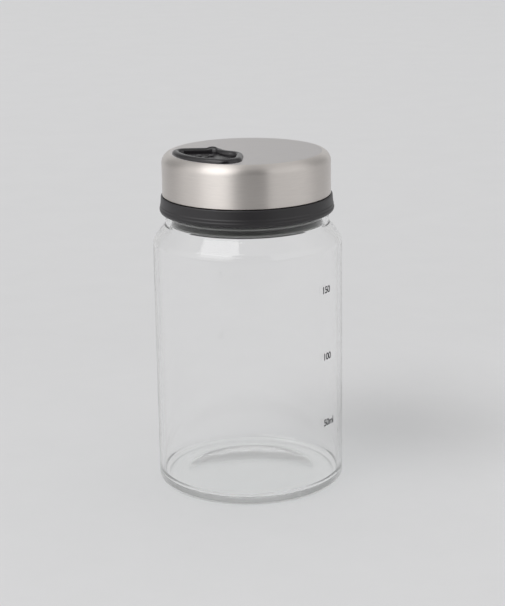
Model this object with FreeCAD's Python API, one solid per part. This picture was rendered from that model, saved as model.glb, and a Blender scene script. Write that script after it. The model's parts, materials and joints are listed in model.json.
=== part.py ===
import FreeCAD, Part
import math
import os

# Spice jar: a blown glass jar with a push-in lid whose steel cap turns over a shutter plate.
# Millimetres, +Z up, origin at the middle of the foot. Every piece is a body of revolution about Z
# apart from the sifter window and the ports under it.

# Glass jar
jar_diameter = 58.0
jar_wall = 1.5
jar_height = 88.8             # foot to the rim
neck_diameter = 50.0
neck_wall = 1.7
neck_height = 6.55            # root of the neck to the rim
neck_root_radius = 0.4
shoulder_slope = 50.0         # degrees
shoulder_radius = 4.0         # outside curve between wall and shoulder
flare_drop = 7.2              # rim to the start of the flare inside the neck
flare_slope = 50.0            # degrees
flare_radius = 4.0            # inside curve at the head of the flare
flare_foot_radius = 2.6       # and at its foot
heel_radius = 2.4             # outside curve between wall and foot
floor_thickness = 2.2         # at its edge
floor_corner_radius = 2.6     # inside curve between wall and floor
foot_width = 6.1              # flat ring that the jar stands on
punt_rise = 2.2               # how far the middle of the underside is pushed up
floor_rise = 1.0              # how far the middle of the floor rises inside

# Collar: the black ring on the neck, with the plug below it and the hub above it
rim_clearance = 0.1           # collar web above the glass rim
skirt_clearance = 0.25        # collar skirt around the neck
skirt_wall = 1.45
collar_height = 5.35
collar_taper = 0.45           # how much the ring narrows towards its top
collar_foot_round_share = 0.8 # of the skirt's wall
collar_top_round = 0.3
collar_step = 0.15            # each band of the ring proud of the one above it
collar_step_rises = (1.75, 2.65) # tops of the bands above the ring's lower edge
flange_thickness = 2.05       # collar above the glass rim
plug_depth = 7.6              # plug below the collar web
plug_clearance = 4.0          # plug inside the neck, which the gasket's fins bridge
plug_wall = 1.9
plug_lead_in = 0.4
hub_wall = 1.8
hub_clearance = 0.1           # hub inside the turning liner
bead_height = 1.2             # snap bead that keeps the cap on the hub
bead_depth = 0.45
bead_rise = 3.0               # bead above the top of the collar

# Gasket on the plug, a sleeve with fins that press on the glass
gasket_height = 6.0
gasket_rise = 0.7             # gasket above the lower end of the plug
groove_depth = 1.0
gasket_fit = 0.02             # gasket in its groove
gasket_stand = 0.8            # sleeve proud of the plug
fin_count = 3
fin_root = 0.95               # height of a fin at the sleeve
fin_tip = 0.55                # height of a fin at the glass
fin_clearance = 0.05          # fins inside the neck

# Cap: steel shell, bonded liner
cap_diameter = 51.5
cap_height = 12.85
cap_gap = 0.25                # shell above the collar
cap_edge_radius = 3.0
steel_thickness = 0.45
bond_gap = 0.05               # shell to liner
liner_thickness = 1.0
liner_skirt = 1.2

# Sifter window in the cap, a ring sector
window_inner_radius = 7.3
window_margin = 0.05          # window inside the flat of the cap
window_span = 85.5            # degrees
window_bearing = 223.2        # degrees from +X to the middle of the window
window_corner = 3.8
window_floor_drop = 0.2       # floor of the window below the top of the steel
rim_height = 1.3              # raised rim above the steel
rim_width = 2.3
rim_overlap = 0.8             # rim lying on the steel
rim_outer_round_share = 0.85  # of the rim's height
rim_inner_round_share = 0.5   # of the rim's height
recess_corner = 1.6
insert_clearance = 0.1        # insert in the cut-outs of shell and liner

# Sifter holes, a cluster in three rows
hole_diameter = 1.7
hole_pitch = 2.35
hole_margin = 0.55            # outermost holes inside the recess
cluster_rows = (2, 3, 2)      # holes in each row, from the axis outwards

# Index pips on the floor of the window, along its leading side
pip_diameter = 1.9
pip_height = 0.5
pip_round_share = 0.75        # of the pip's radius
pip_margin = 3.85             # pips clear of the rim
pip_reaches = (12.75, 15.9)   # pips from the axis

# Thumb nub on the rim, at the inner end of the window's leading side
nub_reach = 10.2              # nub from the axis
nub_rise = 0.4                # nub above the rim
nub_round_share = 0.75        # of the nub's radius

# Shutter plate under the cap
shutter_clearance = 0.15      # plate below the liner
shutter_thickness = 1.6
plate_fit = 0.03              # plate in the hub's rebate
rebate_width = 0.8
port_margin = 0.4             # port around the cluster of holes
port_count = 2
seal_cord = 0.9
seal_land = 0.6               # plate between a port and its seal groove
seal_side_play = 0.05
seal_stand = 0.1              # seal proud of the plate

overrun = 1.0                 # how far a cutting tool passes the faces it cuts
quarter_turn = 90.0           # degrees
full_turn = 360.0

# Radii and levels that several pieces share
jar_radius = jar_diameter / 2
neck_radius = neck_diameter / 2
bore_radius = neck_radius - neck_wall
web_level = jar_height + rim_clearance
collar_top = web_level + flange_thickness
plug_radius = bore_radius - plug_clearance
plug_bore = plug_radius - plug_wall
plug_foot = web_level - plug_depth
groove_radius = plug_radius - groove_depth
groove_foot = plug_foot + gasket_rise
cap_radius = cap_diameter / 2
cap_foot = collar_top + cap_gap
cap_top = cap_foot + cap_height
rim_top = cap_top + rim_height
window_floor = cap_top - window_floor_drop
liner_top = cap_top - steel_thickness - bond_gap
liner_under = liner_top - liner_thickness
liner_radius = cap_radius - steel_thickness - bond_gap
liner_bore = liner_radius - liner_skirt
hub_radius = liner_bore - hub_clearance
hub_bore = hub_radius - hub_wall
shutter_top = liner_under - shutter_clearance
shutter_under = shutter_top - shutter_thickness
plate_radius = hub_bore + rebate_width - plate_fit
bead_foot = collar_top + bead_rise
window_outer_radius = cap_radius - cap_edge_radius - window_margin
row_pitch = hole_pitch * math.sqrt(3) / 2
cluster_reach = row_pitch * (len(cluster_rows) - 1) / 2 + hole_diameter / 2
cluster_radius = window_outer_radius - rim_width - hole_margin - cluster_reach
port_radius = hole_pitch * (max(cluster_rows) - 1) / 2 + hole_diameter / 2 + port_margin
seal_radius = port_radius + seal_land + seal_side_play + seal_cord / 2
seal_groove_depth = seal_cord - seal_stand


class Section:
    """Half of a turned piece: an outline of radii and heights, made of lines and arcs."""

    def __init__(self, radius, height):
        self.start = self.here = FreeCAD.Vector(radius, 0, height)
        self.edges = []

    def line(self, radius, height):
        end = FreeCAD.Vector(radius, 0, height)
        self.edges.append(Part.LineSegment(self.here, end).toShape())
        self.here = end
        return self

    def arc(self, radius, height, centre_radius, centre_height):
        end = FreeCAD.Vector(radius, 0, height)
        centre = FreeCAD.Vector(centre_radius, 0, centre_height)
        middle = self.here + end - centre * 2
        middle = centre + middle.normalize() * (self.here - centre).Length
        self.edges.append(Part.Arc(self.here, middle, end).toShape())
        self.here = end
        return self

    def corner(self, radius, height, rounding, next_radius, next_height):
        """Goes to a corner and rounds it towards the next one."""
        tip = FreeCAD.Vector(radius, 0, height)
        back = (self.here - tip).normalize()
        ahead = (FreeCAD.Vector(next_radius, 0, next_height) - tip).normalize()
        half = back.getAngle(ahead) / 2
        centre = tip + (back + ahead).normalize() * (rounding / math.sin(half))
        entry = tip + back * (rounding / math.tan(half))
        leave = tip + ahead * (rounding / math.tan(half))
        self.line(entry.x, entry.z)
        return self.arc(leave.x, leave.z, centre.x, centre.z)

    def turn(self):
        self.edges.append(Part.LineSegment(self.here, self.start).toShape())
        face = Part.Face(Part.Wire(self.edges))
        return face.revolve(FreeCAD.Vector(0, 0, 0), FreeCAD.Vector(0, 0, 1), full_turn)


def dome_centre(edge_radius, rise):
    """Depth below the edge of the centre of a shallow dome."""
    return (edge_radius ** 2 - rise ** 2) / (2 * rise)


def glass_jar():
    foot_outer = jar_radius - heel_radius
    foot_inner = foot_outer - foot_width
    inside = jar_radius - jar_wall
    floor_edge = inside - floor_corner_radius
    neck_root = jar_height - neck_height
    # both slopes run down from the neck, also to a jar that is narrower than its neck
    shoulder_foot = neck_root - abs(jar_radius - neck_radius) * math.tan(math.radians(shoulder_slope))
    flare_top = jar_height - flare_drop
    flare_foot = flare_top - abs(inside - bore_radius) * math.tan(math.radians(flare_slope))
    lip = neck_wall / 2
    lip_centre = neck_radius - lip
    section = Section(0, punt_rise)
    section.arc(foot_inner, 0, 0, -dome_centre(foot_inner, punt_rise))
    section.line(foot_outer, 0)
    section.arc(jar_radius, heel_radius, foot_outer, heel_radius)
    section.corner(jar_radius, shoulder_foot, shoulder_radius, neck_radius, neck_root)
    section.corner(neck_radius, neck_root, neck_root_radius, neck_radius, jar_height)
    section.line(neck_radius, jar_height - lip)
    section.arc(lip_centre, jar_height, lip_centre, jar_height - lip)
    section.arc(bore_radius, jar_height - lip, lip_centre, jar_height - lip)
    section.corner(bore_radius, flare_top, flare_radius, inside, flare_foot)
    section.corner(inside, flare_foot, flare_foot_radius, inside, floor_thickness)
    section.line(inside, floor_thickness + floor_corner_radius)
    section.arc(floor_edge, floor_thickness, floor_edge, floor_thickness + floor_corner_radius)
    section.arc(0, floor_thickness + floor_rise, 0, floor_thickness - dome_centre(floor_edge, floor_rise))
    return section.turn()


def lid_collar():
    skirt_bore = neck_radius + skirt_clearance
    ring_radius = skirt_bore + skirt_wall
    ring_top_radius = ring_radius - collar_taper
    ring_foot = collar_top - collar_height
    foot_round = skirt_wall * collar_foot_round_share
    foot_centre = ring_radius - foot_round
    groove_top = groove_foot + gasket_height
    section = Section(plug_bore, plug_foot)
    section.line(plug_radius - plug_lead_in, plug_foot)
    section.line(plug_radius, plug_foot + plug_lead_in)
    section.line(plug_radius, groove_foot)
    section.line(groove_radius, groove_foot)
    section.line(groove_radius, groove_top)
    section.line(plug_radius, groove_top)
    section.line(plug_radius, web_level)
    section.line(skirt_bore, web_level)
    section.line(skirt_bore, ring_foot)
    section.line(foot_centre, ring_foot)
    section.arc(ring_radius, ring_foot + foot_round, foot_centre, ring_foot + foot_round)
    band = ring_radius
    for rise in collar_step_rises:
        section.line(band, ring_foot + rise - collar_step)
        band = band - collar_step
        section.arc(band, ring_foot + rise, band, ring_foot + rise - collar_step)
    section.line(ring_top_radius, collar_top - collar_top_round)
    section.arc(ring_top_radius - collar_top_round, collar_top,
                ring_top_radius - collar_top_round, collar_top - collar_top_round)
    section.line(hub_radius, collar_top)
    section.line(hub_radius, bead_foot)
    section.line(hub_radius + bead_depth, bead_foot + bead_height / 2)
    section.line(hub_radius, bead_foot + bead_height)
    section.line(hub_radius, shutter_top)
    section.line(hub_bore + rebate_width, shutter_top)
    section.line(hub_bore + rebate_width, shutter_under)
    section.line(hub_bore, shutter_under)
    section.line(hub_bore, collar_top)
    section.line(plug_bore, web_level)
    return section.turn()


def plug_gasket():
    foot = groove_foot + gasket_fit
    top = groove_foot + gasket_height - gasket_fit
    sleeve = plug_radius + gasket_stand
    tip = bore_radius - fin_clearance
    pitch = (top - foot) / fin_count
    section = Section(groove_radius + gasket_fit, foot)
    section.line(plug_radius, foot)
    for fin in range(fin_count):
        root = foot + pitch * fin
        section.line(sleeve, root)
        section.line(tip, root + fin_root - fin_tip)
        section.line(tip, root + fin_root)
        section.line(sleeve, root + fin_root)
    section.line(sleeve, top)
    section.line(groove_radius + gasket_fit, top)
    return section.turn()


def shell_section(radius, foot, top, edge, skirt, disc, skirt_bore_edge):
    """A cup turned upside down, with a rounded outer edge and a rounded inner one."""
    section = Section(radius, foot)
    section.line(radius, top - edge)
    section.arc(radius - edge, top, radius - edge, top - edge)
    section.line(0, top)
    section.line(0, top - disc)
    bore = radius - skirt
    if skirt_bore_edge > 0:
        section.line(bore - skirt_bore_edge, top - disc)
        section.arc(bore, top - disc - skirt_bore_edge,
                    bore - skirt_bore_edge, top - disc - skirt_bore_edge)
    else:
        section.line(bore, top - disc)
    return section, bore


def steel_cap():
    section, bore = shell_section(cap_radius, cap_foot, cap_top, cap_edge_radius,
                                  steel_thickness, steel_thickness, cap_edge_radius - steel_thickness)
    section.line(bore, cap_foot)
    hole = sector_prism(rim_overlap - insert_clearance, window_corner, liner_top, cap_top + overrun)
    return section.turn().cut(hole)


def cap_liner():
    edge = cap_edge_radius - steel_thickness - bond_gap
    section, bore = shell_section(liner_radius, cap_foot, liner_top, edge, liner_skirt, liner_thickness, 0)
    groove = bore + bead_depth
    section.line(bore, bead_foot + bead_height + hub_clearance)
    section.line(groove, bead_foot + bead_height / 2 + hub_clearance)
    section.line(groove, bead_foot + bead_height / 2 - hub_clearance)
    section.line(bore, bead_foot - hub_clearance)
    section.line(bore, cap_foot)
    hole = sector_prism(rim_overlap - insert_clearance, window_corner,
                        liner_under - overrun, liner_top + overrun)
    return section.turn().cut(hole)


def sector_corner(radius, side, inset):
    """Corner of the window on one of its two sides, which lie inset from the radial lines."""
    bearing = math.radians(window_bearing + side * window_span / 2)
    along = math.sqrt(radius ** 2 - inset ** 2)
    across = -side * inset
    return FreeCAD.Vector(along * math.cos(bearing) - across * math.sin(bearing),
                          along * math.sin(bearing) + across * math.cos(bearing), 0)


def sector_prism(inset, corner, foot, top):
    """The window's ring sector, drawn in by inset all round, as a prism with rounded corners."""
    inner = window_inner_radius + inset
    outer = window_outer_radius - inset
    bearing = math.radians(window_bearing)
    middle = FreeCAD.Vector(math.cos(bearing), math.sin(bearing), 0)
    inner_start = sector_corner(inner, -1, inset)
    inner_end = sector_corner(inner, 1, inset)
    outer_start = sector_corner(outer, -1, inset)
    outer_end = sector_corner(outer, 1, inset)
    edges = [
        Part.LineSegment(inner_start, outer_start).toShape(),
        Part.Arc(outer_start, middle * outer, outer_end).toShape(),
        Part.LineSegment(outer_end, inner_end).toShape(),
        Part.Arc(inner_end, middle * inner, inner_start).toShape(),
    ]
    face = Part.Face(Part.Wire(edges))
    face.translate(FreeCAD.Vector(0, 0, foot))
    prism = face.extrude(FreeCAD.Vector(0, 0, top - foot))
    upright = [edge for edge in prism.Edges if is_upright(edge)]
    return prism.makeFillet(corner, upright)


def is_upright(edge):
    first, last = edge.Vertexes[0].Point, edge.Vertexes[-1].Point
    return math.hypot(first.x - last.x, first.y - last.y) < abs(first.z - last.z)


def top_face(solid):
    return max(solid.Faces, key=lambda face: face.BoundBox.ZMin)


def hole_places():
    """Middles of the sifter holes: rows square to the window's bearing, staggered as bricks are."""
    bearing = math.radians(window_bearing)
    out = FreeCAD.Vector(math.cos(bearing), math.sin(bearing), 0)
    across = FreeCAD.Vector(-out.y, out.x, 0)
    places = []
    for row, count in enumerate(cluster_rows):
        reach = cluster_radius + (row - (len(cluster_rows) - 1) / 2) * row_pitch
        for hole in range(count):
            places.append(out * reach + across * ((hole - (count - 1) / 2) * hole_pitch))
    return places


def sifter_insert():
    rim = sector_prism(0, window_corner, cap_top, rim_top)
    rim = rim.makeFillet(rim_height * rim_outer_round_share, top_face(rim).OuterWire.Edges)
    neck = sector_prism(rim_overlap, window_corner - insert_clearance, liner_under, cap_top)
    recess = sector_prism(rim_width, recess_corner, window_floor, rim_top + overrun)
    insert = rim.fuse(neck).removeSplitter().cut(recess)
    crest = top_face(insert)
    mouth = [wire for wire in crest.Wires if not wire.isSame(crest.OuterWire)]
    insert = insert.makeFillet(rim_height * rim_inner_round_share, mouth[0].Edges)
    pip_radius = pip_diameter / 2
    pip_inset = rim_width + pip_margin + pip_radius
    pip_top = window_floor + pip_height
    for reach in pip_reaches:
        insert = insert.fuse(domed_stud(reach, pip_inset, pip_radius, liner_under, pip_top, pip_round_share))
    nub_radius = rim_width / 2
    nub_top = rim_top + nub_rise
    insert = insert.fuse(domed_stud(nub_reach, nub_radius, nub_radius, cap_top, nub_top, nub_round_share))
    hole_depth = window_floor - liner_under + 2 * overrun
    for place in hole_places():
        foot = place + FreeCAD.Vector(0, 0, liner_under - overrun)
        insert = insert.cut(Part.makeCylinder(hole_diameter / 2, hole_depth, foot))
    return insert


def domed_stud(reach, inset, radius, foot, top, round_share):
    """A domed stud that rises out of the insert, inset from the window's leading side."""
    place = sector_corner(reach, -1, inset) + FreeCAD.Vector(0, 0, foot)
    stud = Part.makeCylinder(radius, top - foot, place)
    return stud.makeFillet(radius * round_share, top_face(stud).Edges)


def port_places():
    """Middles of the ports: a quarter turn from the window, and on round at even steps."""
    first = window_bearing + quarter_turn
    bearings = [math.radians(first + full_turn / port_count * port) for port in range(port_count)]
    return [FreeCAD.Vector(math.cos(bearing), math.sin(bearing), 0) * cluster_radius for bearing in bearings]


def shutter_plate():
    plate = Part.makeCylinder(plate_radius, shutter_thickness, FreeCAD.Vector(0, 0, shutter_under))
    half_groove = seal_cord / 2 + seal_side_play
    for place in port_places():
        foot = place + FreeCAD.Vector(0, 0, shutter_under - overrun)
        plate = plate.cut(Part.makeCylinder(port_radius, shutter_thickness + 2 * overrun, foot))
        foot = place + FreeCAD.Vector(0, 0, shutter_top - seal_groove_depth)
        depth = seal_groove_depth + overrun
        ring = Part.makeCylinder(seal_radius + half_groove, depth, foot)
        plate = plate.cut(ring.cut(Part.makeCylinder(seal_radius - half_groove, depth, foot)))
    return plate


def port_seals():
    level = FreeCAD.Vector(0, 0, shutter_top + seal_stand - seal_cord / 2)
    rings = [Part.makeTorus(seal_radius, seal_cord / 2, place + level) for place in port_places()]
    return Part.makeCompound(rings)


pieces = {
    "glass_jar": glass_jar,
    "plug_gasket": plug_gasket,
    "lid_collar": lid_collar,
    "shutter_plate": shutter_plate,
    "port_seals": port_seals,
    "cap_liner": cap_liner,
    "sifter_insert": sifter_insert,
    "steel_cap": steel_cap,
}

os.makedirs("parts", exist_ok=True)
for name, make in pieces.items():
    shape = make()
    shape.exportStep(f"parts/{name}.step")
    print(f"{name}: {len(shape.Solids)} solid(s), valid {shape.isValid()}, {shape.Volume:.1f} mm3")
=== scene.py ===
import json
import math
import bmesh
import bpy
from mathutils import Matrix, Vector

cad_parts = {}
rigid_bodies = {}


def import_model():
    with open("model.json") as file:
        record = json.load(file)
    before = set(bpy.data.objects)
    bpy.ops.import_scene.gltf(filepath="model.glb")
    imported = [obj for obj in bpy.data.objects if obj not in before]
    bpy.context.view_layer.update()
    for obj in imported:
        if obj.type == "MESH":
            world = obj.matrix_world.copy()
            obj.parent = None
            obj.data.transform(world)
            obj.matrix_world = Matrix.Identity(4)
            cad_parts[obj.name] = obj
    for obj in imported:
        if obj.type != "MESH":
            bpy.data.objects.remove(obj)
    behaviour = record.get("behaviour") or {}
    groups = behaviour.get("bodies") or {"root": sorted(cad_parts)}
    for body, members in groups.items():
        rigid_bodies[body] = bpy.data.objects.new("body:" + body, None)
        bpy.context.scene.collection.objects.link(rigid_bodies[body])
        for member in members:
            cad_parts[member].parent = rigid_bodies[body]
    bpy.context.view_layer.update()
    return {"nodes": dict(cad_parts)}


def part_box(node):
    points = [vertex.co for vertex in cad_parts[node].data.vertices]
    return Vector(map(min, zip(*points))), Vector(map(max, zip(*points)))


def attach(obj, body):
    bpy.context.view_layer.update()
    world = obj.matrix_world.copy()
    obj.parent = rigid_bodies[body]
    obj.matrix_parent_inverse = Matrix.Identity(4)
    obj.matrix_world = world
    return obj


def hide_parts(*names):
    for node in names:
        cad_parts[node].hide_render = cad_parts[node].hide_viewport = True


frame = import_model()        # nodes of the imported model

# Spice jar: straight clear jar, black push-in lid, brushed cap with a sifter window.
# Metres, +Z up, the jar stands on z = 0 and -Y faces the camera. Pieces are given in mm.
mm = 0.001
around = 192             # sides of every turned piece
arcStep = 7.0            # degrees per step of a rounded corner
weld = 1e-7              # m, points closer than this are one

for spare in [o for o in bpy.data.objects if o.name in ("Cube", "Light", "Camera")]:
    bpy.data.objects.remove(spare)


def nodeReach(node):     # radius, foot and top of a turned CAD node, in mm
    low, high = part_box(node)
    return high.x / mm, low.z / mm, high.z / mm


jarRadius, jarFoot, glassRim = nodeReach("glass_jar")
ringRadius, plugFoot, hubTop = nodeReach("lid_collar")
finRadius, gasketFoot, gasketTop = nodeReach("plug_gasket")
capRadius, capFoot, capTop = nodeReach("steel_cap")
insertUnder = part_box("sifter_insert")[0].z / mm
print("frame read: jar %.1f mm across, cap top at %.2f mm" % (2 * jarRadius, capTop))


# Outlines and meshes

def roundOutline(corners, closed=True):
    # corners are (across, up, round); each rounded corner becomes an arc
    points = []
    last = len(corners) - 1
    for i, (across, up, radius) in enumerate(corners):
        here = Vector((across, up))
        if radius == 0 or (not closed and i in (0, last)):
            points.append(here)
            continue
        back = (Vector(corners[i - 1][:2]) - here).normalized()
        ahead = (Vector(corners[(i + 1) % len(corners)][:2]) - here).normalized()
        half = back.angle(ahead) / 2
        centre = here + (back + ahead).normalized() * radius / math.sin(half)
        spoke = here + back * radius / math.tan(half) - centre
        turn = math.pi - 2 * half
        if back.x * ahead.y - back.y * ahead.x > 0:
            turn = -turn
        steps = max(2, math.ceil(abs(math.degrees(turn)) / arcStep))
        for k in range(steps + 1):
            points.append(centre + Matrix.Rotation(turn * k / steps, 2) @ spoke)
    return points


def domePoints(edge, height, rise, steps):      # a shallow dome from its middle to its edge
    ball = (edge ** 2 + rise ** 2) / (2 * rise)
    lean = math.asin(edge / ball)
    return [Vector((ball * math.sin(lean * k / steps),
                    height + rise - ball * (1 - math.cos(lean * k / steps)))) for k in range(steps + 1)]


def ringOf(bm, radius, height):
    if radius * mm < weld:
        return [bm.verts.new((0, 0, height * mm))]
    turns = [2 * math.pi * k / around for k in range(around)]
    return [bm.verts.new((radius * mm * math.cos(t), radius * mm * math.sin(t), height * mm)) for t in turns]


def loopOf(bm, points, height):
    return [bm.verts.new((p.x * mm, p.y * mm, height * mm)) for p in points]


def circleOf(centre, radius, sides):
    turns = [2 * math.pi * k / sides for k in range(sides)]
    return [centre + Vector((math.cos(t), math.sin(t))) * radius for t in turns]


def joinLoops(bm, first, second):
    for k in range(max(len(first), len(second))):
        corners = [first[k % len(first)], first[(k + 1) % len(first)],
                   second[(k + 1) % len(second)], second[k % len(second)]]
        bm.faces.new(list(dict.fromkeys(corners)))


def fillFlat(bm, outer, holes):                 # flat face inside outer, around the holes
    edges = []
    for loop in [outer] + holes:
        for k, vert in enumerate(loop):
            pair = (loop[k - 1], vert)
            edges.append(bm.edges.get(pair) or bm.edges.new(pair))
    bmesh.ops.triangle_fill(bm, edges=edges, use_beauty=True, use_dissolve=False)


def turnOutline(bm, outline, closed=True):
    rings = [ringOf(bm, p.x, p.y) for p in outline]
    for first, second in zip(rings, rings[1:]):
        joinLoops(bm, first, second)
    if closed:
        joinLoops(bm, rings[-1], rings[0])
    return rings


def finishPiece(name, bm, material, body, stands=(), sharp=40):       # sharp in degrees
    bmesh.ops.recalc_face_normals(bm, faces=bm.faces)
    mesh = bpy.data.meshes.new(name)
    bm.to_mesh(mesh)
    bm.free()
    mesh.shade_smooth()
    mesh.set_sharp_from_angle(angle=math.radians(sharp))
    mesh.materials.append(material)
    piece = bpy.data.objects.new(name, mesh)
    bpy.context.scene.collection.objects.link(piece)
    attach(piece, body)
    if stands:
        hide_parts(*stands)
    print("%s: %d faces" % (name, len(mesh.polygons)))
    return piece


# Materials

def startMaterial(name):
    material = bpy.data.materials.new(name)
    material.use_nodes = True
    tree = material.node_tree
    tree.nodes.clear()
    out = tree.nodes.new("ShaderNodeOutputMaterial")
    shader = tree.nodes.new("ShaderNodeBsdfPrincipled")
    tree.links.new(shader.outputs[0], out.inputs["Surface"])
    return material, tree, shader, out


def addNode(tree, kind, settings=None, **sockets):
    node = tree.nodes.new(kind)
    for key, value in (settings or {}).items():
        setattr(node, key, value)
    for key, value in sockets.items():
        socket = node.inputs[key.replace("_", " ")]
        if isinstance(value, bpy.types.NodeSocket):
            tree.links.new(value, socket)
        else:
            socket.default_value = value
    return node


def mathNode(tree, operation, first, second=0.0):
    node = tree.nodes.new("ShaderNodeMath")
    node.operation = operation
    for socket, value in zip(node.inputs, (first, second)):
        if isinstance(value, bpy.types.NodeSocket):
            tree.links.new(value, socket)
        else:
            socket.default_value = value
    return node.outputs[0]


def rampNode(tree, factor, low, high):          # colour or grey from low to high
    node = addNode(tree, "ShaderNodeValToRGB", Fac=factor)
    for stop, value in zip(node.color_ramp.elements, (low, high)):
        stop.color = (*value, 1) if isinstance(value, tuple) else (value, value, value, 1)
    return node.outputs[0]


def fillRamp(node, levels):                     # grey levels at their places along a ramp
    stops = node.color_ramp.elements
    while len(stops) < len(levels):
        stops.new(0.5)
    for stop, (place, level) in zip(stops, levels):
        stop.position = place
        stop.color = (level, level, level, 1)


steelLook = {
    "sideDark": (0.635, 0.598, 0.571), "sideLight": (0.81, 0.765, 0.726),
    # painted shade: the flat top takes darker, cooler copies of the side's colours, so it reads dimmer
    "topDark": (0.535, 0.521, 0.518), "topLight": (0.765, 0.745, 0.740),
    "roughLow": 0.36, "roughHigh": 0.46,
    "anisotropy": 0.95,
    "finePitch": 0.10,       # mm between the finest brush lines
    "coarsePitch": 0.45,     # mm between the broader ones
    "fineRun": 9.0,          # brush strokes per radian
    "coarseRun": 4.0,
    "fineDetail": 2.0, "coarseDetail": 3.0, "breakUp": 0.6,
    "fineShare": 0.5,        # of the colour, the rest follows the broader lines
    "lineDepth": 0.006,      # mm
    "lineStrength": 0.5,
    "glossTurn": 0.25,       # of a turn: gloss spreads square to the lines
}


def brushedSteel(name, straight):
    # straight lines on the flat top, lines round the axis on the side; the top's darker colours are painted
    # shade
    look = steelLook
    material, tree, shader, out = startMaterial(name)
    place = addNode(tree, "ShaderNodeTexCoord").outputs["Object"]
    split = addNode(tree, "ShaderNodeSeparateXYZ", Vector=place).outputs
    if straight:
        along = mathNode(tree, "MULTIPLY", split["X"], 1 / (capRadius * mm))
        across = split["Y"]
        heading = addNode(tree, "ShaderNodeCombineXYZ", X=along).outputs[0]
        lay = addNode(tree, "ShaderNodeVectorTransform", {"vector_type": "VECTOR", "convert_from": "OBJECT",
                      "convert_to": "WORLD"}, Vector=(1, 0, 0)).outputs[0]
    else:
        flat = addNode(tree, "ShaderNodeCombineXYZ", X=split["X"], Y=split["Y"]).outputs[0]
        reach = addNode(tree, "ShaderNodeVectorMath", {"operation": "LENGTH"}, Vector=flat).outputs["Value"]
        heading = addNode(tree, "ShaderNodeVectorMath", {"operation": "NORMALIZE"}, Vector=flat).outputs[0]
        across = mathNode(tree, "SUBTRACT", split["Z"], reach)       # runs square to the brush lines
        lay = addNode(tree, "ShaderNodeTangent", {"direction_type": "RADIAL", "axis": "Z"}).outputs[0]

    def brushLines(run, pitch, detail):
        along = addNode(tree, "ShaderNodeVectorMath", {"operation": "SCALE"}, Vector=heading,
                        Scale=run).outputs[0]
        parts = addNode(tree, "ShaderNodeSeparateXYZ", Vector=along).outputs
        lines = mathNode(tree, "MULTIPLY", across, 1 / (pitch * mm))
        spot = addNode(tree, "ShaderNodeCombineXYZ", X=parts["X"], Y=parts["Y"], Z=lines).outputs[0]
        noise = addNode(tree, "ShaderNodeTexNoise", Vector=spot, Scale=1.0, Detail=detail,
                        Roughness=look["breakUp"])
        return noise.outputs["Fac"]

    fine = brushLines(look["fineRun"], look["finePitch"], look["fineDetail"])
    coarse = brushLines(look["coarseRun"], look["coarsePitch"], look["coarseDetail"])
    both = mathNode(tree, "ADD", mathNode(tree, "MULTIPLY", fine, look["fineShare"]),
                    mathNode(tree, "MULTIPLY", coarse, 1 - look["fineShare"]))
    # the top's darker pair of colours is painted shade
    face = "top" if straight else "side"
    colour = rampNode(tree, both, look[face + "Dark"], look[face + "Light"])
    tree.links.new(colour, shader.inputs["Base Color"])
    tree.links.new(rampNode(tree, coarse, look["roughLow"], look["roughHigh"]), shader.inputs["Roughness"])
    bump = addNode(tree, "ShaderNodeBump", Height=fine, Strength=look["lineStrength"],
                   Distance=look["lineDepth"] * mm)
    tree.links.new(bump.outputs[0], shader.inputs["Normal"])
    tree.links.new(lay, shader.inputs["Tangent"])
    shader.inputs["Metallic"].default_value = 1.0
    shader.inputs["Anisotropic"].default_value = look["anisotropy"]
    shader.inputs["Anisotropic Rotation"].default_value = look["glossTurn"]
    return material


glassLook = {
    "ior": 1.48,
    "shadowTint": (0.97, 0.975, 0.975),
    "waveSize": 14.0,        # mm across one ripple of the blown wall
    "waveDepth": 0.012,      # mm
    "waveDetail": 1.0,
    "smudgeScale": 60.0, "smudgeDetail": 4.0,
    "polished": {"rough": (0.0, 0.02), "clearShare": 1.0, "tint": (1, 1, 1)},
    # moulded underside
    "stippled": {"rough": (0.12, 0.12), "clearShare": 0.80, "tint": (0.945, 0.945, 0.94)},
}


def clearGlass(name, finish):
    look, surface = glassLook, glassLook[finish]
    material, tree, shader, out = startMaterial(name)
    shader.inputs["Base Color"].default_value = (*surface["tint"], 1)
    shader.inputs["Transmission Weight"].default_value = surface["clearShare"]
    shader.inputs["IOR"].default_value = look["ior"]
    place = addNode(tree, "ShaderNodeTexCoord").outputs["Object"]
    waves = addNode(tree, "ShaderNodeTexNoise", Vector=place, Scale=1 / (look["waveSize"] * mm),
                    Detail=look["waveDetail"])
    bump = addNode(tree, "ShaderNodeBump", Height=waves.outputs["Fac"], Strength=1.0,
                   Distance=look["waveDepth"] * mm)
    tree.links.new(bump.outputs[0], shader.inputs["Normal"])
    smudge = addNode(tree, "ShaderNodeTexNoise", Vector=place, Scale=look["smudgeScale"],
                     Detail=look["smudgeDetail"])
    tree.links.new(rampNode(tree, smudge.outputs["Fac"], *surface["rough"]), shader.inputs["Roughness"])
    # light passes through the wall, so the jar throws a pale shadow
    path = addNode(tree, "ShaderNodeLightPath")
    through = mathNode(tree, "MAXIMUM", path.outputs["Is Shadow Ray"], path.outputs["Is Diffuse Ray"])
    clear = addNode(tree, "ShaderNodeBsdfTransparent", Color=(*look["shadowTint"], 1))
    mix = addNode(tree, "ShaderNodeMixShader", Fac=through)
    tree.links.new(shader.outputs[0], mix.inputs[1])
    tree.links.new(clear.outputs[0], mix.inputs[2])
    tree.links.new(mix.outputs[0], out.inputs["Surface"])
    return material


plasticLook = {
    "dark": (0.0065, 0.0056, 0.0068), "light": (0.0135, 0.0116, 0.0140),
    "specular": 0.6,
    "satin": (0.38, 0.46), "gloss": (0.20, 0.28),            # roughness of the ring and of the insert
    "grain": 0.22,           # mm, spark-eroded mould texture
    "grainDepth": 0.006, "grainStrength": 0.6,
    "flowScale": 150.0, "noiseDetail": 3.0,
}


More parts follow.
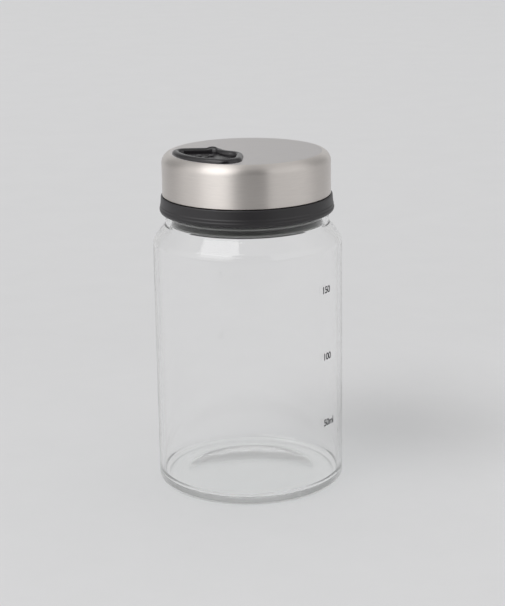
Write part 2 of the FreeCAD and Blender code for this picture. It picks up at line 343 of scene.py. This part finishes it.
def blackPlastic(name, finish):
    look = plasticLook
    material, tree, shader, out = startMaterial(name)
    place = addNode(tree, "ShaderNodeTexCoord").outputs["Object"]
    grain = addNode(tree, "ShaderNodeTexNoise", Vector=place, Scale=1 / (look["grain"] * mm),
                    Detail=look["noiseDetail"])
    flow = addNode(tree, "ShaderNodeTexNoise", Vector=place, Scale=look["flowScale"],
                   Detail=look["noiseDetail"]).outputs["Fac"]
    tree.links.new(rampNode(tree, flow, look["dark"], look["light"]), shader.inputs["Base Color"])
    tree.links.new(rampNode(tree, flow, *look[finish]), shader.inputs["Roughness"])
    shader.inputs["Specular IOR Level"].default_value = look["specular"]
    bump = addNode(tree, "ShaderNodeBump", Height=grain.outputs["Fac"], Strength=look["grainStrength"],
                   Distance=look["grainDepth"] * mm)
    tree.links.new(bump.outputs[0], shader.inputs["Normal"])
    return material


siliconeLook = {
    # lighter from the sleeve out to the fins: the sleeve dark where the black plug shows through, the fins
    # partly painted light shining through them
    "sleeve": (0.03, 0.031, 0.03),           # clear over the black plug
    "fin": (0.22, 0.225, 0.215),             # milky at the fins, lighter there also with painted glow of light through them
    "sleeveRadius": 20.3, "finRadius": 22.6,
    "rough": 0.28, "scatter": 0.3, "scatterReach": 1.0,          # reach in mm
    "cloudScale": 300.0, "cloudDetail": 3.0, "cloudShare": 0.1,
    "unevenDepth": 0.02, "unevenStrength": 0.3,
}


def clearSilicone():
    look = siliconeLook
    material, tree, shader, out = startMaterial("clearSilicone")
    place = addNode(tree, "ShaderNodeTexCoord").outputs["Object"]
    cloud = addNode(tree, "ShaderNodeTexNoise", Vector=place, Scale=look["cloudScale"],
                    Detail=look["cloudDetail"]).outputs["Fac"]
    flat = addNode(tree, "ShaderNodeVectorMath", {"operation": "MULTIPLY"}, Vector=place)
    flat.inputs[1].default_value = (1, 1, 0)
    reach = addNode(tree, "ShaderNodeVectorMath", {"operation": "LENGTH"},
                    Vector=flat.outputs[0]).outputs["Value"]
    # painted light in part: the fins glow lighter than the sleeve
    milkyAndGlowShare = addNode(tree, "ShaderNodeMapRange", Value=reach, From_Min=look["sleeveRadius"] * mm,
                    From_Max=look["finRadius"] * mm).outputs[0]
    uneven = mathNode(tree, "ADD", milkyAndGlowShare, mathNode(tree, "MULTIPLY", cloud, look["cloudShare"]))
    tree.links.new(rampNode(tree, uneven, look["sleeve"], look["fin"]), shader.inputs["Base Color"])
    bump = addNode(tree, "ShaderNodeBump", Height=cloud, Strength=look["unevenStrength"],
                   Distance=look["unevenDepth"] * mm)
    tree.links.new(bump.outputs[0], shader.inputs["Normal"])
    shader.inputs["Roughness"].default_value = look["rough"]
    shader.inputs["Subsurface Weight"].default_value = look["scatter"]
    shader.inputs["Subsurface Radius"].default_value = (1, 1, 1)
    shader.inputs["Subsurface Scale"].default_value = look["scatterReach"] * mm
    return material


inkLook = {
    "dark": (0.03, 0.03, 0.034), "light": (0.06, 0.06, 0.066), "rough": 0.6,
    "speckScale": 6000.0, "speckDetail": 2.0,
}


def printInk():
    look = inkLook
    material, tree, shader, out = startMaterial("printInk")
    place = addNode(tree, "ShaderNodeTexCoord").outputs["Object"]
    speck = addNode(tree, "ShaderNodeTexNoise", Vector=place, Scale=look["speckScale"],
                    Detail=look["speckDetail"]).outputs["Fac"]
    tree.links.new(rampNode(tree, speck, look["dark"], look["light"]), shader.inputs["Base Color"])
    shader.inputs["Roughness"].default_value = look["rough"]
    return material


steel, shadedSteelTop = brushedSteel("brushedSteel", False), brushedSteel("brushedSteelTopPaintedShade", True)
glass, stippled = clearGlass("clearGlass", "polished"), clearGlass("stippledGlass", "stippled")
plastic, glossy = blackPlastic("blackPlastic", "satin"), blackPlastic("glossyPlastic", "gloss")
silicone, ink = clearSilicone(), printInk()
print("materials ready")


# Glass jar
jar = {
    "wall": 1.5, "floor": 2.2, "floorRise": 1.0,
    "neckRadius": 25.0, "neckWall": 1.7, "neckRoot": 82.25, "rootRound": 0.4,
    "shoulderSlope": 50.0, "shoulderRound": 4.0,
    "flareTop": 81.6, "flareSlope": 50.0, "flareRound": 4.0, "flareFootRound": 2.6,
    "heelRound": 2.4, "innerHeel": 2.6,
    "arcShare": 0.999,       # of the inner heel: its arc stops just short of the floor's edge
    "standInner": 20.5, "punt": 2.2, "domeSteps": 16,
    "lipShare": 0.48,        # of the neck's wall
    "sharp": 60,             # degrees from which an edge stays sharp
    "stippleLean": -0.5,     # faces that look down more than this are stippled
}


def makeJar():
    radius, neck = jarRadius, jar["neckRadius"]
    inside, bore = radius - jar["wall"], neck - jar["neckWall"]
    standInner = jar["standInner"]
    floorEdge = inside - jar["innerHeel"]
    shoulderFoot = jar["neckRoot"] - (radius - neck) * math.tan(math.radians(jar["shoulderSlope"]))
    flareFoot = jar["flareTop"] - (inside - bore) * math.tan(math.radians(jar["flareSlope"]))
    lip = jar["neckWall"] * jar["lipShare"]
    corners = [
        (standInner, jarFoot, 0), (radius, jarFoot, jar["heelRound"]),
        (radius, shoulderFoot, jar["shoulderRound"]), (neck, jar["neckRoot"], jar["rootRound"]),
        (neck, glassRim, lip), (bore, glassRim, lip),
        (bore, jar["flareTop"], jar["flareRound"]), (inside, flareFoot, jar["flareFootRound"]),
        (inside, jar["floor"], jar["innerHeel"] * jar["arcShare"]), (floorEdge, jar["floor"], 0),
    ]
    outline = domePoints(standInner, jarFoot, jar["punt"], jar["domeSteps"])[:-1]
    outline += roundOutline(corners, closed=False)
    outline += domePoints(floorEdge, jar["floor"], jar["floorRise"], jar["domeSteps"])[-2::-1]
    bm = bmesh.new()
    turnOutline(bm, outline, closed=False)
    piece = finishPiece("glassJar", bm, glass, "jar", ("glass_jar",), sharp=jar["sharp"])
    piece.data.materials.append(stippled)
    for face in piece.data.polygons:
        if face.normal.z < jar["stippleLean"] and face.center.z < jar["floor"] * mm:
            face.material_index = 1
    return piece


makeJar()


# Volume marks, printed on the outside of the wall
marks = {
    # text, height and bearing of its left end
    "labels": (("150", 64.45, -40.5), ("100", 43.55, -39.7), ("50ml", 22.5, -39.4)),
    "size": 2.95,            # mm, height of the type
    "bold": 0.08,            # mm added round every stroke
    "spacing": 0.93,
    "lift": 0.012,           # mm above the glass
    "thickness": 0.012,
}


def makeMark(label, height, bearing):
    curve = bpy.data.curves.new("markText", "FONT")
    curve.body = label
    curve.size = marks["size"] * mm
    curve.offset = marks["bold"] * mm
    curve.space_character = marks["spacing"]
    curve.extrude = marks["thickness"] * mm / 2
    curve.align_y = "CENTER"
    text = bpy.data.objects.new("markText", curve)
    bpy.context.scene.collection.objects.link(text)
    bpy.context.view_layer.update()
    mesh = bpy.data.meshes.new_from_object(text.evaluated_get(bpy.context.evaluated_depsgraph_get()))
    bpy.data.objects.remove(text)
    bm = bmesh.new()
    bm.from_mesh(mesh)
    bmesh.ops.remove_doubles(bm, verts=bm.verts, dist=weld)
    wrap = jarRadius * mm
    for vert in bm.verts:
        turn = math.radians(bearing) + vert.co.x / wrap
        out = wrap + marks["lift"] * mm + vert.co.z
        vert.co = (out * math.cos(turn), out * math.sin(turn), height * mm + vert.co.y)
    finishPiece("volumeMark" + label, bm, ink, "jar")


for label, height, bearing in marks["labels"]:
    makeMark(label, height, bearing)


# Lid collar: ring on the neck, plug below it, hub above it
collar = {
    "skirtBore": 25.25, "ringFoot": 85.6, "ringTop": 90.95, "taper": 0.5,
    "footRound": 1.16, "topRound": 0.35,
    # bands round the ring
    "steps": (1.75, 2.65), "stepDepth": 0.15, "stepHeight": 0.34, "stepRound": 0.08,
    "web": 88.9,
    "plugRadius": 19.3, "plugBore": 17.4, "plugRound": 0.4, "boreRound": 1.0,
    "grooveRadius": 18.3, "grooveFoot": 82.0, "grooveHeight": 6.0,
    "hubRadius": 23.95, "hubBore": 22.15, "rebate": 0.8, "rebateDepth": 1.6,
    "beadFoot": 93.95, "beadHeight": 1.2, "beadDepth": 0.45, "beadRound": 0.2, "beadRootRound": 0.1,
    "edge": 0.15, "sharp": 30,
}


def makeCollar():
    c = collar
    edge, ring = c["edge"], ringRadius
    bands = []
    for k, rise in enumerate(c["steps"]):
        level, band = c["ringFoot"] + rise, ring - c["stepDepth"] * k
        bands += [(band, level - c["stepHeight"], c["stepRound"]),
                  (band - c["stepDepth"], level, c["stepRound"])]
    groovesTop = c["grooveFoot"] + c["grooveHeight"]
    beadMiddle = c["beadFoot"] + c["beadHeight"] / 2
    rebateRadius = c["hubBore"] + c["rebate"]
    corners = [
        (c["plugBore"], plugFoot, edge), (c["plugRadius"], plugFoot, c["plugRound"]),
        (c["plugRadius"], c["grooveFoot"], edge), (c["grooveRadius"], c["grooveFoot"], 0),
        (c["grooveRadius"], groovesTop, 0), (c["plugRadius"], groovesTop, edge),
        (c["plugRadius"], c["web"], 0), (c["skirtBore"], c["web"], 0),
        (c["skirtBore"], c["ringFoot"], edge), (ring, c["ringFoot"], c["footRound"]),
        *bands, (ring - c["taper"], c["ringTop"], c["topRound"]),
        (c["hubRadius"], c["ringTop"], 0), (c["hubRadius"], c["beadFoot"], c["beadRootRound"]),
        (c["hubRadius"] + c["beadDepth"], beadMiddle, c["beadRound"]),
        (c["hubRadius"], c["beadFoot"] + c["beadHeight"], c["beadRootRound"]),
        (c["hubRadius"], hubTop, edge), (rebateRadius, hubTop, edge),
        (rebateRadius, hubTop - c["rebateDepth"], 0), (c["hubBore"], hubTop - c["rebateDepth"], edge),
        (c["hubBore"], c["ringTop"], c["boreRound"]), (c["plugBore"], c["web"], c["boreRound"]),
    ]
    bm = bmesh.new()
    turnOutline(bm, roundOutline(corners))
    return finishPiece("lidCollar", bm, plastic, "lid", ("lid_collar",), sharp=c["sharp"])


makeCollar()


# Gasket: sleeve in the plug's groove with three fins that wipe the glass
gasket = {
    "fit": 0.02,             # mm between the sleeve and the bottom of the groove
    "sleeve": 20.1,          # mm, outside radius between the fins
    "fins": 3, "finRoot": 0.95, "finTip": 0.55,
    "rootRound": 0.1, "tipRound": 0.2, "creaseRound": 0.15, "topRound": 0.2,
    "sharp": 35,
}


def makeGasket():
    g = gasket
    pitch = (gasketTop - gasketFoot) / g["fins"]
    groove = collar["grooveRadius"] + g["fit"]
    corners = [(groove, gasketFoot, 0), (collar["plugRadius"], gasketFoot, g["rootRound"])]
    for fin in range(g["fins"]):
        root = gasketFoot + pitch * fin
        finTop = root + g["finRoot"]
        corners += [(g["sleeve"], root, g["rootRound"]), (finRadius, finTop - g["finTip"], g["tipRound"]),
                    (finRadius, finTop, g["tipRound"]), (g["sleeve"], finTop, g["creaseRound"])]
    corners += [(g["sleeve"], gasketTop, g["topRound"]), (groove, gasketTop, 0)]
    bm = bmesh.new()
    turnOutline(bm, roundOutline(corners))
    return finishPiece("plugGasket", bm, silicone, "lid", ("plug_gasket",), sharp=g["sharp"])


makeGasket()


# Sifter window: a ring sector let into the cap, with a raised round rim
window = {
    "innerRadius": 7.3, "margin": 0.05,
    "edgeRadius": 3.0,                       # round of the cap's top edge, which the outer side follows
    "span": 85.5, "bearing": 223.2,
    "corners": {-1: 3.8, 1: 5.2},            # corner rounds at either end
    "cornerFall": 0.95,                      # and their loss per mm of inset
    "cornerSteps": 10, "outerSteps": 36, "innerSteps": 18, "sideSteps": 12,
    "rimWidth": 2.3, "overlap": 0.8, "clearance": 0.1,
    "crown": 2.2, "rimSteps": 20,            # fullness of the rim's section
    "rimRise": 1.3, "floorRise": -0.2, "floorRound": 0.2,    # above the steel
    "holeRadius": 0.85, "holePitch": 2.35, "holeRows": (2, 3, 2), "holeMargin": 0.55, "holeEdge": 0.12,
    "pipRadius": 0.95, "pipHeight": 0.5, "pipMargin": 3.85, "pipReaches": (12.75, 15.9),
    "pipWallShare": 0.35, "pipSteps": 5,     # straight foot of a pip, and steps of its dome
    "roundSides": 24,                        # of holes and pips
    "nubReach": 10.2, "nubRise": 0.4, "nubSpread": 1.3, "nubEdge": 4,
    "sharp": 40,
}
windowOuter = capRadius - window["edgeRadius"] - window["margin"]


def sectorPoint(radius, side, inset):
    bearing = math.radians(window["bearing"] + side * window["span"] / 2)
    along, across = math.sqrt(radius ** 2 - inset ** 2), -side * inset
    return Vector((along * math.cos(bearing) - across * math.sin(bearing),
                   along * math.sin(bearing) + across * math.cos(bearing)))


def windowLoop(inset, fall=None):
    # outline of the window drawn in by inset, counter-clockwise from its leading outer corner
    fall = window["cornerFall"] * inset if fall is None else fall
    outer, inner = windowOuter - inset, window["innerRadius"] + inset

    def bend(atOuter, side, sideFirst):
        corner = window["corners"][side] - fall
        centre = sectorPoint(outer - corner if atOuter else inner + corner, side, inset + corner)
        beside = math.radians(window["bearing"] + side * window["span"] / 2) + side * math.pi / 2
        radial = math.atan2(centre.y, centre.x) + (0 if atOuter else math.pi)
        start, end = (beside, radial) if sideFirst else (radial, beside)
        sweep = (end - start) % (2 * math.pi)
        turns = [start + sweep * k / window["cornerSteps"] for k in range(window["cornerSteps"] + 1)]
        return [centre + Vector((math.cos(t), math.sin(t))) * corner for t in turns]

    def sweepArc(radius, start, end, steps):
        a, b = (math.atan2(p.y, p.x) % (2 * math.pi) for p in (start, end))
        turns = [a + (b - a) * k / steps for k in range(1, steps)]
        return [Vector((math.cos(t), math.sin(t))) * radius for t in turns]

    def straight(start, end):
        return [start.lerp(end, k / window["sideSteps"]) for k in range(1, window["sideSteps"])]

    first, second = bend(True, -1, True), bend(True, 1, False)
    third, fourth = bend(False, 1, True), bend(False, -1, False)
    outside = sweepArc(outer, first[-1], second[0], window["outerSteps"])
    inside = sweepArc(inner, third[-1], fourth[0], window["innerSteps"])
    return (first + outside + second + straight(second[-1], third[0])
            + third + inside + fourth + straight(fourth[-1], first[0]))


def holePlaces():
    out = Vector((math.cos(math.radians(window["bearing"])), math.sin(math.radians(window["bearing"]))))
    side = Vector((-out.y, out.x))
    rows, pitch = window["holeRows"], window["holePitch"]
    rowPitch = pitch * math.sqrt(3) / 2
    reach = rowPitch * (len(rows) - 1) / 2 + window["holeRadius"]
    middle = windowOuter - window["rimWidth"] - window["holeMargin"] - reach
    return [out * (middle + (row - (len(rows) - 1) / 2) * rowPitch) + side * (k - (count - 1) / 2) * pitch
            for row, count in enumerate(rows) for k in range(count)]


def makeInsert():
    w = window
    floor, top, half = capTop + w["floorRise"], capTop + w["rimRise"], w["rimWidth"] / 2
    section = [(0.0, capTop)]                            # inset and height, from the steel over the rim
    for k in range(1, w["rimSteps"]):
        turn = math.pi * k / w["rimSteps"]
        outside = turn < math.pi / 2
        lean = abs(math.cos(turn)) ** (2 / w["crown"]) * (1 if outside else -1)
        foot = capTop if outside else floor
        section.append((half - half * lean, foot + (top - foot) * math.sin(turn) ** (2 / w["crown"])))
    section += [(w["rimWidth"], floor + w["floorRound"] / 2), (w["rimWidth"] + w["floorRound"], floor)]
    nub = sectorPoint(w["nubReach"], -1, half)
    bm = bmesh.new()
    loops = []
    for inset, height in section:
        loop = loopOf(bm, windowLoop(inset), height)
        loops.append(loop)
        if height > floor + w["floorRound"]:
            for vert in loop:                            # the rim swells into the thumb nub
                away = (Vector(vert.co[:2]) / mm - nub).length / w["nubSpread"]
                swell = math.exp(-away ** w["nubEdge"]) * (height - capTop) / (top - capTop)
                vert.co.z += w["nubRise"] * mm * swell
    for first, second in zip(loops, loops[1:]):
        joinLoops(bm, first, second)
    topHoles, lowHoles, pips = [], [], []
    for place in holePlaces():
        mouth = loopOf(bm, circleOf(place, w["holeRadius"] + w["holeEdge"], w["roundSides"]), floor)
        throat = loopOf(bm, circleOf(place, w["holeRadius"], w["roundSides"]), floor - w["holeEdge"])
        under = loopOf(bm, circleOf(place, w["holeRadius"], w["roundSides"]), insertUnder)
        joinLoops(bm, mouth, throat)
        joinLoops(bm, throat, under)
        topHoles.append(mouth)
        lowHoles.append(under)
    for reach in w["pipReaches"]:
        place = sectorPoint(reach, -1, w["rimWidth"] + w["pipMargin"] + w["pipRadius"])
        last = None
        for k in range(w["pipSteps"] + 2):               # foot, wall and dome of a pip
            turn = math.pi / 2 * max(0, k - 1) / w["pipSteps"]
            spread = w["pipRadius"] * math.cos(turn) if k <= w["pipSteps"] else 0
            share = w["pipWallShare"] + (1 - w["pipWallShare"]) * math.sin(turn)
            rise = w["pipHeight"] * share if k else 0
            points = circleOf(place, spread, w["roundSides"]) if spread else [place]
            ring = loopOf(bm, points, floor + rise)
            if last:
                joinLoops(bm, last, ring)
            else:
                pips.append(ring)
            last = ring
    fillFlat(bm, loops[-1], topHoles + pips)
    neck = windowLoop(w["overlap"], w["clearance"])
    neckTop, neckFoot = loopOf(bm, neck, capTop), loopOf(bm, neck, insertUnder)
    joinLoops(bm, loops[0], neckTop)
    joinLoops(bm, neckTop, neckFoot)
    fillFlat(bm, neckFoot, lowHoles)
    return finishPiece("sifterInsert", bm, glossy, "cap", ("sifter_insert",),
                       sharp=w["sharp"])


makeInsert()


# Steel cap: drawn shell with the window cut in its top
cap = {
    "thickness": 0.45, "edge": window["edgeRadius"], "footRound": 0.12,
    "support": 0.2,          # mm, narrow flat ring inside the rounded edge
    "flatLean": 0.99,        # faces that look up more than this have straight brush lines and the top's painted shade
    "sharp": 40,
}


def makeCap():
    t, edge, flat = cap["thickness"], cap["edge"], capRadius - cap["edge"]
    under = capTop - t
    outside = roundOutline([(capRadius - t, capFoot, 0), (capRadius, capFoot, cap["footRound"]),
                            (capRadius, capTop, edge), (flat - cap["support"], capTop, 0)], closed=False)
    inside = roundOutline([(flat - cap["support"], under, 0), (capRadius - t, under, edge - t),
                           (capRadius - t, capFoot, 0)], closed=False)
    bm = bmesh.new()
    outer = turnOutline(bm, outside, closed=False)
    inner = turnOutline(bm, inside[:-1], closed=False)
    joinLoops(bm, inner[-1], outer[0])
    hole = windowLoop(window["overlap"] - window["clearance"], 0)
    topHole, lowHole = loopOf(bm, hole, capTop), loopOf(bm, hole, under)
    joinLoops(bm, topHole, lowHole)
    fillFlat(bm, outer[-1], [topHole])
    fillFlat(bm, inner[0], [lowHole])
    piece = finishPiece("steelCap", bm, steel, "cap", ("steel_cap",), sharp=cap["sharp"])
    piece.data.materials.append(shadedSteelTop)
    for face in piece.data.polygons:
        if face.normal.z > cap["flatLean"] and face.center.z > (capTop - t / 2) * mm:
            face.material_index = 1
    return piece


makeCap()

for node, finish in (("cap_liner", plastic), ("shutter_plate", plastic), ("port_seals", silicone)):
    mesh = frame["nodes"][node].data
    mesh.materials.clear()
    mesh.materials.append(finish)
print("inner CAD pieces dressed")


# Studio: pale floor, one large soft light from the left, darker room behind the camera
studio = {
    "floorDark": (0.70, 0.70, 0.706), "floorLight": (0.74, 0.74, 0.746),
    "floorSize": 60.0, "floorDrop": 0.05,                # mm below the jar's foot
    # painted shade: the floor's tone at places along y, in m, darker in a band behind the jar
    "sweep": ((-0.2, 1.0), (0.02, 0.985), (0.16, 0.955), (0.4, 0.965), (1.0, 0.985), (2.0, 1.0)),
    # painted shade on the floor towards the camera, which only reflections see
    "frontStart": -0.25, "frontEnd": -0.6, "frontShade": 0.35,
    "mottleScale": 35.0, "mottleDetail": 6.0, "mottleRough": 0.7,
    "ambient": 0.64,
    "backdrop": 0.64, "overhead": 0.67,
    # upward part of the direction where walls give way to what is overhead
    "overheadStart": 0.60, "overheadEnd": 0.82,
    "walls": ((-180, 0.68), (-152, 0.64), (-140, 0.34), (-118, 0.34), (-94, 0.9), (-50, 1.54),
              (-30, 1.48), (-14, 0.08), (27, 0.07), (32, 1.0), (84, 1.0), (112, 0.45), (140, 0.38),
              (152, 0.64), (180, 0.68)),                 # bearing from the camera, brightness
}
keyLight = {                 # one softbox whose light falls off towards its edges
    "bearing": -48.0, "elevation": 51.0, "distance": 13.0,       # from the camera's side, plus to the right
    "width": 9.0, "height": 6.0, "radiance": 5.2,
    "layers": {"keyOuter": 1.15, "keyMiddle": 0.9, "keyCore": 0.65},     # shares of its size
    "aim": 0.06,             # m, the height it looks at
}


def makeFloor():
    half, level = studio["floorSize"] / 2, -studio["floorDrop"] * mm
    mesh = bpy.data.meshes.new("floor")
    mesh.from_pydata([(-half, -half, level), (half, -half, level), (half, half, level), (-half, half, level)],
                     [], [(0, 1, 2, 3)])
    floor = bpy.data.objects.new("floor", mesh)
    bpy.context.scene.collection.objects.link(floor)
    material, tree, shader, out = startMaterial("paleFloor")
    place = addNode(tree, "ShaderNodeTexCoord").outputs["Object"]
    mottle = addNode(tree, "ShaderNodeTexNoise", Vector=place, Scale=studio["mottleScale"],
                     Detail=studio["mottleDetail"], Roughness=studio["mottleRough"])
    pale = rampNode(tree, mottle.outputs["Fac"], studio["floorDark"], studio["floorLight"])
    near = addNode(tree, "ShaderNodeSeparateXYZ", Vector=place).outputs["Y"]
    # painted shade: the floor darker in a band along y behind the jar
    first, last = studio["sweep"][0][0], studio["sweep"][-1][0]
    along = addNode(tree, "ShaderNodeMapRange", Value=near, From_Min=first, From_Max=last).outputs[0]
    sweep = addNode(tree, "ShaderNodeValToRGB", Fac=along)
    fillRamp(sweep, [((y - first) / (last - first), tone) for y, tone in studio["sweep"]])
    paleWithPaintedShade = addNode(tree, "ShaderNodeMixRGB", {"blend_type": "MULTIPLY"}, Fac=1.0, Color1=pale,
                    Color2=sweep.outputs[0])
    front = addNode(tree, "ShaderNodeMapRange", Value=near, From_Min=studio["frontStart"],
                    From_Max=studio["frontEnd"]).outputs[0]
    # painted shade, seen only by glossy rays
    path = addNode(tree, "ShaderNodeLightPath").outputs
    mirrored = mathNode(tree, "MULTIPLY", front, path["Is Glossy Ray"])
    shade = studio["frontShade"]
    shaded = addNode(tree, "ShaderNodeMixRGB", {"blend_type": "MULTIPLY"}, Fac=mirrored,
                     Color1=paleWithPaintedShade.outputs[0], Color2=(shade, shade, shade, 1))
    tree.links.new(shaded.outputs[0], shader.inputs["Base Color"])
    shader.inputs["Roughness"].default_value = 1.0
    shader.inputs["Specular IOR Level"].default_value = 0.0
    mesh.materials.append(material)


def makeWorld():
    world = bpy.data.worlds.new("studio")
    bpy.context.scene.world = world
    world.use_nodes = True
    tree = world.node_tree
    tree.nodes.clear()
    out = tree.nodes.new("ShaderNodeOutputWorld")
    path = addNode(tree, "ShaderNodeLightPath").outputs
    heading = addNode(tree, "ShaderNodeTexCoord").outputs["Generated"]
    split = addNode(tree, "ShaderNodeSeparateXYZ", Vector=heading).outputs
    turn = mathNode(tree, "ARCTAN2", split["X"], mathNode(tree, "MULTIPLY", split["Y"], -1.0))
    share = mathNode(tree, "ADD", mathNode(tree, "DIVIDE", turn, 2 * math.pi), 0.5)
    walls = addNode(tree, "ShaderNodeValToRGB", Fac=share)
    fillRamp(walls, [(bearing / 360 + 0.5, level) for bearing, level in studio["walls"]])
    above = addNode(tree, "ShaderNodeMapRange", {"interpolation_type": "SMOOTHSTEP"}, Value=split["Z"],
                    From_Min=studio["overheadStart"], From_Max=studio["overheadEnd"])
    overhead = studio["overhead"]
    room = addNode(tree, "ShaderNodeMixRGB", Fac=above.outputs[0], Color1=walls.outputs[0],
                   Color2=(overhead, overhead, overhead, 1))
    reflected = addNode(tree, "ShaderNodeBackground", Color=room.outputs[0])
    ambient = addNode(tree, "ShaderNodeBackground", Color=(1, 1, 1, 1), Strength=studio["ambient"])
    backdrop = addNode(tree, "ShaderNodeBackground", Color=(1, 1, 1, 1), Strength=studio["backdrop"])
    first = addNode(tree, "ShaderNodeMixShader", Fac=path["Is Glossy Ray"])
    tree.links.new(ambient.outputs[0], first.inputs[1])
    tree.links.new(reflected.outputs[0], first.inputs[2])
    second = addNode(tree, "ShaderNodeMixShader", Fac=path["Is Transmission Ray"])
    tree.links.new(first.outputs[0], second.inputs[1])
    tree.links.new(backdrop.outputs[0], second.inputs[2])
    tree.links.new(second.outputs[0], out.inputs["Surface"])


def addSoftbox(name, box, share):
    lamp = bpy.data.lights.new(name, "AREA")
    lamp.shape = "RECTANGLE"
    lamp.size, lamp.size_y = box["width"] * share, box["height"] * share
    lamp.energy = box["radiance"] / len(box["layers"]) * math.pi * lamp.size * lamp.size_y
    turn, lift = math.radians(box["bearing"]), math.radians(box["elevation"])
    spot = Vector((math.sin(turn) * math.cos(lift), -math.cos(turn) * math.cos(lift), math.sin(lift)))
    light = bpy.data.objects.new(name, lamp)
    light.location = spot * box["distance"] + Vector((0, 0, box["aim"]))
    light.rotation_euler = spot.to_track_quat("Z", "Y").to_euler()
    bpy.context.scene.collection.objects.link(light)


makeFloor()
makeWorld()
for name, share in keyLight["layers"].items():
    addSoftbox(name, keyLight, share)
print("studio ready")


# Camera, at the photo's height, distance and tilt
view = {"distance": 514.3, "height": 196.2, "yaw": 0.0024, "pitch": 0.2659, "roll": -0.0161,
        "focal": 1715.5, "frameHeight": 606,             # mm, radians, pixels
        "sensor": 36.0, "clip": (0.01, 100.0)}


def makeCamera():
    lens = bpy.data.cameras.new("camera")
    lens.sensor_fit = "VERTICAL"
    lens.sensor_height = view["sensor"]
    lens.lens = view["focal"] * lens.sensor_height / view["frameHeight"]
    lens.clip_start, lens.clip_end = view["clip"]
    yaw, pitch, roll = view["yaw"], view["pitch"], view["roll"]
    ahead = Vector((math.sin(yaw) * math.cos(pitch), math.cos(yaw) * math.cos(pitch), -math.sin(pitch)))
    right = Vector((math.cos(yaw), -math.sin(yaw), 0))
    up = right.cross(ahead)
    turnedRight = math.cos(roll) * right + math.sin(roll) * up
    turnedUp = math.cos(roll) * up - math.sin(roll) * right
    camera = bpy.data.objects.new("camera", lens)
    camera.matrix_world = Matrix.Translation((0, -view["distance"] * mm, view["height"] * mm)) @ \
        Matrix((turnedRight, turnedUp, -ahead)).transposed().to_4x4()
    bpy.context.scene.collection.objects.link(camera)
    bpy.context.scene.camera = camera


makeCamera()
bpy.context.scene.view_settings.view_transform = "Standard"
